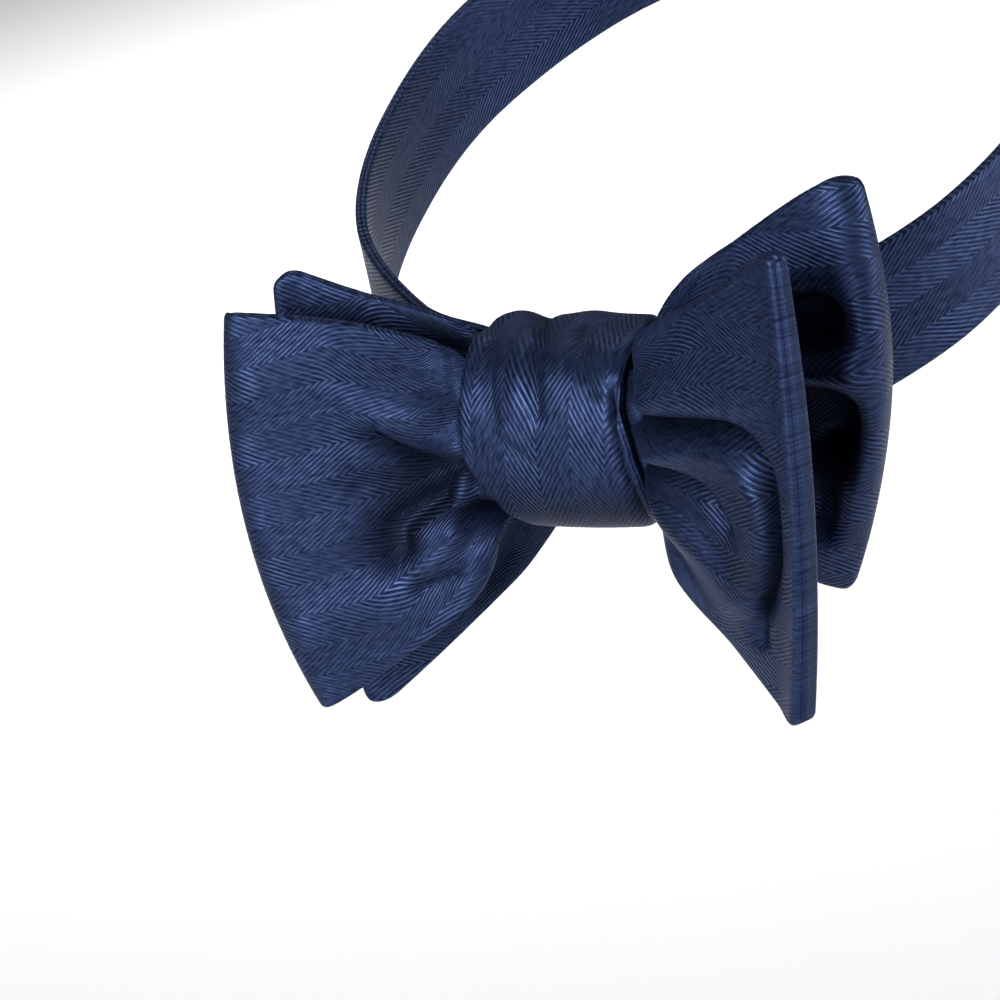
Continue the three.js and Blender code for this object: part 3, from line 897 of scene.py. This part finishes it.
@dataclass(frozen=True)
class HerringboneSilk:
    """Navy silk woven in a herringbone: slanting ribs that turn about from column to column.

    Lengths are in mm, and the two scales are per metre. The wander bends the ribs, the thread
    makes them uneven, and the focus blurs them in patches. The satin shines as metal does.
    Painted sheen makes the ribs of every other column softer and darker, and painted shade
    darkens the folds.
    """

    name: str = "navy_herringbone_silk"
    column_width: float = 5.3
    rib_pitch: float = 1.34
    rib_slant: float = 0.577
    rib_crispness: float = 3.0
    wander_scale: float = 90.0
    wander: float = 0.5
    thread_along: float = 0.9
    thread_across: float = 1.6
    thread_detail: float = 3.0
    focus_scale: float = 75.0
    focus_range: Pair = (0.42, 0.68)
    least_focus: float = 0.15
    dark: Triple = (0.005, 0.011, 0.038)
    light: Triple = (0.064, 0.1, 0.232)
    calm_tone: float = 0.26
    # Painted sheen: every other column gets softer ribs and a darker tone
    painted_sheen_blur: float = 0.45
    painted_sheen_darkening: float = 0.02
    thread_contrast: float = 1.1
    hem_calm: float = 0.85
    # How much full painted shade darkens the silk in the folds
    painted_shade_strength: float = 0.68
    roughness: float = 0.56
    smoother_ribs: float = 0.12
    satin: float = 0.76
    specular: float = 0.2
    relief_strength: float = 0.8
    relief_depth: float = 0.08
    relief_of_threads: float = 0.3
    sheen: float = 0.03
    sheen_roughness: float = 0.4
    sheen_tint: Triple = (0.35, 0.42, 0.8)

    def weave_group(self) -> bpy.types.NodeTree:
        """Make the shader group that turns a place on the cloth into rib and column masks.

        Returns:
            A group with the outputs Rib (0 in a gap, 1 on a rib), Column (which way the ribs
            slant), Thread (fine unevenness) and Focus (how clearly the ribs show).
        """
        tree = bpy.data.node_groups.new("herringbone_weave", "ShaderNodeTree")
        face = tree.interface
        face.new_socket("Place", in_out="INPUT", socket_type="NodeSocketVector")
        sizes = {
            "Column Width": self.column_width,
            "Rib Pitch": self.rib_pitch,
            "Rib Slant": self.rib_slant,
        }
        for label, value in sizes.items():
            socket = face.new_socket(label, in_out="INPUT", socket_type="NodeSocketFloat")
            socket.default_value = value
        for label in ("Rib", "Column", "Thread", "Focus"):
            face.new_socket(label, in_out="OUTPUT", socket_type="NodeSocketFloat")
        nodes, links = tree.nodes, tree.links
        source = nodes.new("NodeGroupInput")
        result = nodes.new("NodeGroupOutput")
        place = source.outputs["Place"]
        maths = partial(add_maths, tree)

        split = nodes.new("ShaderNodeSeparateXYZ")
        links.new(place, split.inputs[0])
        u = maths("MULTIPLY", split.outputs["X"], 1 / MM)
        v = maths("MULTIPLY", split.outputs["Y"], 1 / MM)
        wander = add_noise(tree, self.wander_scale, 1.0)
        links.new(place, wander.inputs["Vector"])
        drift = maths("MULTIPLY", maths("SUBTRACT", wander.outputs["Fac"], 0.5), self.wander)

        width = source.outputs["Column Width"]
        column = maths("DIVIDE", maths("ADD", v, drift), width)
        zigzag = maths("MULTIPLY", maths("PINGPONG", column, 1.0), width)
        lift = maths("MULTIPLY", zigzag, maths("DIVIDE", 1.0, source.outputs["Rib Slant"]))
        climbed = maths("ADD", maths("ADD", u, drift), lift)
        phase = maths("DIVIDE", climbed, source.outputs["Rib Pitch"])
        wave = maths("SINE", maths("MULTIPLY", phase, 2 * math.pi))
        rib = maths("MULTIPLY_ADD", wave, 0.5, 0.5)
        counted = maths("ADD", column, COLUMNS_BEFORE_ZERO)
        side = maths("GREATER_THAN", maths("MODULO", counted, 2.0), 1.0)

        thread = add_noise(tree, 1.0, self.thread_detail)
        stretch = nodes.new("ShaderNodeCombineXYZ")
        links.new(maths("MULTIPLY", phase, self.thread_along), stretch.inputs["X"])
        links.new(maths("MULTIPLY", v, self.thread_across), stretch.inputs["Y"])
        links.new(stretch.outputs[0], thread.inputs["Vector"])

        cloud = add_noise(tree, self.focus_scale, 1.0)
        links.new(place, cloud.inputs["Vector"])
        focus = nodes.new("ShaderNodeMapRange")
        focus.inputs["From Min"].default_value = self.focus_range[0]
        focus.inputs["From Max"].default_value = self.focus_range[1]
        focus.inputs["To Min"].default_value = self.least_focus
        links.new(cloud.outputs["Fac"], focus.inputs["Value"])

        links.new(focus.outputs["Result"], result.inputs["Focus"])
        links.new(rib, result.inputs["Rib"])
        links.new(side, result.inputs["Column"])
        links.new(thread.outputs["Fac"], result.inputs["Thread"])
        return tree

    def material(self) -> bpy.types.Material:
        """Make the silk: dark ground, lighter ribs, fine relief and a soft sheen, with painted sheen
        on every other column and painted shade in the folds.

        Returns:
            The material that all four pieces share.
        """
        silk = bpy.data.materials.new(self.name)
        silk.use_nodes = True
        nodes, links = silk.node_tree.nodes, silk.node_tree.links
        shader = nodes["Principled BSDF"]
        maths = partial(add_maths, silk.node_tree)
        place = nodes.new("ShaderNodeUVMap")
        place.uv_map = PLACE_ON_CLOTH
        weave = nodes.new("ShaderNodeGroup")
        weave.node_tree = self.weave_group()
        links.new(place.outputs["UV"], weave.inputs["Place"])
        rib, column = weave.outputs["Rib"], weave.outputs["Column"]
        thread, focus = weave.outputs["Thread"], weave.outputs["Focus"]

        crisp = maths("SUBTRACT", maths("POWER", rib, self.rib_crispness), self.calm_tone)
        # Painted sheen: the ribs of every other column are softer
        sheen_blur = maths("MULTIPLY_ADD", column, -self.painted_sheen_blur, 1.0)
        hem = nodes.new("ShaderNodeAttribute")
        hem.attribute_name = PLAIN_MASK
        woven = maths("MULTIPLY_ADD", hem.outputs["Fac"], -self.hem_calm, 1.0)
        contrast = maths("MULTIPLY", maths("MULTIPLY", focus, sheen_blur), woven)
        tone = maths("MULTIPLY_ADD", crisp, contrast, self.calm_tone)
        uneven = maths("SUBTRACT", thread, 0.5)
        tone = maths("MULTIPLY_ADD", uneven, self.thread_contrast, tone)
        # Painted sheen: every other column is a little darker
        tone = maths("MULTIPLY_ADD", column, -self.painted_sheen_darkening, tone)
        colour = nodes.new("ShaderNodeMix")
        colour.data_type = "RGBA"
        links.new(tone, colour.inputs["Factor"])
        colour.inputs["A"].default_value = (*self.dark, 1)
        colour.inputs["B"].default_value = (*self.light, 1)

        # Painted shade: the hollow mask darkens the colour in the folds
        depth = nodes.new("ShaderNodeAttribute")
        depth.attribute_name = PAINTED_SHADE_MASK
        shade = maths("MULTIPLY_ADD", depth.outputs["Fac"], -self.painted_shade_strength, 1.0)
        shaded = nodes.new("ShaderNodeVectorMath")
        shaded.operation = "SCALE"
        links.new(colour.outputs["Result"], shaded.inputs[0])
        links.new(shade, shaded.inputs["Scale"])
        links.new(shaded.outputs["Vector"], shader.inputs["Base Color"])

        rough = maths("MULTIPLY_ADD", rib, -self.smoother_ribs, self.roughness)
        links.new(rough, shader.inputs["Roughness"])
        relief = nodes.new("ShaderNodeBump")
        relief.inputs["Strength"].default_value = self.relief_strength
        relief.inputs["Distance"].default_value = self.relief_depth * MM
        height = maths("MULTIPLY_ADD", thread, self.relief_of_threads, rib)
        links.new(maths("MULTIPLY", height, woven), relief.inputs["Height"])
        links.new(relief.outputs["Normal"], shader.inputs["Normal"])
        shader.inputs["Metallic"].default_value = self.satin
        shader.inputs["Sheen Weight"].default_value = self.sheen
        shader.inputs["Sheen Roughness"].default_value = self.sheen_roughness
        shader.inputs["Sheen Tint"].default_value = (*self.sheen_tint, 1)
        shader.inputs["Specular IOR Level"].default_value = self.specular
        return silk


@dataclass(frozen=True)
class Lamp:
    """A soft square light that faces the tie.

    Its azimuth is 0 in front and 90 at the wearer's left. Angles are degrees, seen from the
    tie. Its distance and the size of its side are in metres, and its power is in watts.
    """

    name: str
    azimuth: float
    elevation: float
    distance: float
    size: float
    power: float


LAMPS = (
    Lamp("window", -3, 18, 1.1, 0.5, 14),
    Lamp("right", 105, 12, 1.0, 0.5, 7),
)


def from_tie(azimuth: float, elevation: float) -> Vector:
    """Give the direction from the tie at an azimuth and an elevation, in radians."""
    level = math.cos(elevation)
    return Vector((math.sin(azimuth) * level, -math.cos(azimuth) * level, math.sin(elevation)))


@dataclass
class Studio:
    """A pale floor, soft lights and the camera.

    The camera's distance and aim are in mm, the floor and its light in metres, and angles in
    degrees.
    """

    floor_z: float = -0.24
    floor_size: float = 8.0
    floor_colour: Triple = (0.8, 0.8, 0.808)
    floor_roughness: float = 0.9
    azimuth: float = 30.0
    elevation: float = 22.0
    roll: float = 12.0
    distance: float = 480.0
    pixels_per_mm: float = 6.5
    aim: Triple = (0.0, -14.0, 0.0)
    aim_pixel: Pair = (577.0, 424.0)
    image_size: float = 1000.0
    sensor: float = 36.0
    lamps: tuple[Lamp, ...] = LAMPS
    floor_light_place: Triple = (-0.45, 0.8, 0.7)
    floor_light_size: float = 1.0
    floor_light_power: float = 7.0
    floor_light_spread: float = 90.0
    room_light: float = 0.16
    room_colour: Triple = (0.93, 0.95, 1.0)

    def build(self) -> None:
        """Set up the floor, the lights and the camera."""
        self._floor()
        for lamp in self.lamps:
            self._lamp(lamp)
        self._floor_light()
        self._room()
        self._camera()

    def _floor(self) -> None:
        """Lay a wide, pale, matt floor below the tie."""
        bpy.ops.object.select_all(action="DESELECT")
        bpy.ops.mesh.primitive_plane_add(size=self.floor_size, location=(0, 0, self.floor_z))
        floor = bpy.context.object
        floor.name = "floor"
        bpy.ops.object.transform_apply(location=True, rotation=True, scale=True)
        paper = bpy.data.materials.new("pale_paper")
        paper.use_nodes = True
        shader = paper.node_tree.nodes["Principled BSDF"]
        shader.inputs["Base Color"].default_value = (*self.floor_colour, 1)
        shader.inputs["Roughness"].default_value = self.floor_roughness
        floor.data.materials.append(paper)

    def _square_light(self, name: str, size: float, power: float) -> bpy.types.Object:
        """Make a square light, which still has to be put in its place.

        Args:
            name: the light's name.
            size: the length of its side, in metres.
            power: its power in watts.

        Returns:
            The light, facing down.
        """
        light = bpy.data.lights.new(name, "AREA")
        light.shape = "SQUARE"
        light.size = size
        light.energy = power
        holder = bpy.data.objects.new(name, light)
        bpy.context.scene.collection.objects.link(holder)
        return holder

    def _lamp(self, lamp: Lamp) -> None:
        """Place a lamp so that it faces the tie.

        Args:
            lamp: the row that says where it stands, how large it is and how bright.
        """
        back = from_tie(math.radians(lamp.azimuth), math.radians(lamp.elevation))
        holder = self._square_light(lamp.name, lamp.size, lamp.power)
        holder.location = Vector(self.aim) * MM + back * lamp.distance
        holder.rotation_euler = back.to_track_quat("Z", "Y").to_euler()

    def _floor_light(self) -> None:
        """Light the floor behind the tie from above, clear of the tie."""
        holder = self._square_light("floor_light", self.floor_light_size, self.floor_light_power)
        holder.data.spread = math.radians(self.floor_light_spread)
        holder.location = self.floor_light_place

    def _room(self) -> None:
        """Fill the room with even, slightly cool light."""
        world = bpy.data.worlds.new("studio")
        world.use_nodes = True
        background = world.node_tree.nodes["Background"]
        background.inputs["Color"].default_value = (*self.room_colour, 1)
        background.inputs["Strength"].default_value = self.room_light
        bpy.context.scene.world = world

    def _camera(self) -> None:
        """Stand the camera at the photograph's angle, framed as the photograph is."""
        a, e, roll = (math.radians(v) for v in (self.azimuth, self.elevation, self.roll))
        back = from_tie(a, e)
        level = Vector((math.cos(a), math.sin(a), 0))
        upright = back.cross(level)
        right = level * math.cos(roll) - upright * math.sin(roll)
        up = level * math.sin(roll) + upright * math.cos(roll)
        half = self.image_size / 2
        aside = right * ((self.aim_pixel[0] - half) / self.pixels_per_mm)
        above = up * ((self.aim_pixel[1] - half) / self.pixels_per_mm)
        place = (Vector(self.aim) + back * self.distance - aside + above) * MM
        lens = bpy.data.cameras.new("photo_camera")
        lens.sensor_width = self.sensor
        lens.lens = self.pixels_per_mm * self.distance * self.sensor / self.image_size
        lens.clip_start = 0.01
        camera = bpy.data.objects.new("photo_camera", lens)
        turn = Matrix((right, up, back)).transposed().to_4x4()
        camera.matrix_world = Matrix.Translation(place) @ turn
        bpy.context.scene.collection.objects.link(camera)
        bpy.context.scene.camera = camera
        bpy.context.scene.view_settings.view_transform = "Standard"


def main() -> None:
    """Build the tie piece by piece, then the studio round it."""
    silk = HerringboneSilk().material()
    front = BowBlade("front_bow", FRONT_BOW_SECTIONS, FRONT_BOW_FOLDS, (78, 158), 7600)
    back = BowBlade(
        "back_bow",
        BACK_BOW_SECTIONS,
        BACK_BOW_FOLDS,
        (81, 158),
        7600,
        corner_radius=5.5,
        fold_radius=1.6,
        weave_turn=-1,
    )
    for maker in (front, back, Knot(), NeckBand()):
        piece = maker.build()
        maker.dress(piece, silk)
        log.info("%s: %d faces", piece.name, len(piece.data.polygons))
    Studio().build()


if __name__ == "__main__":
    main()
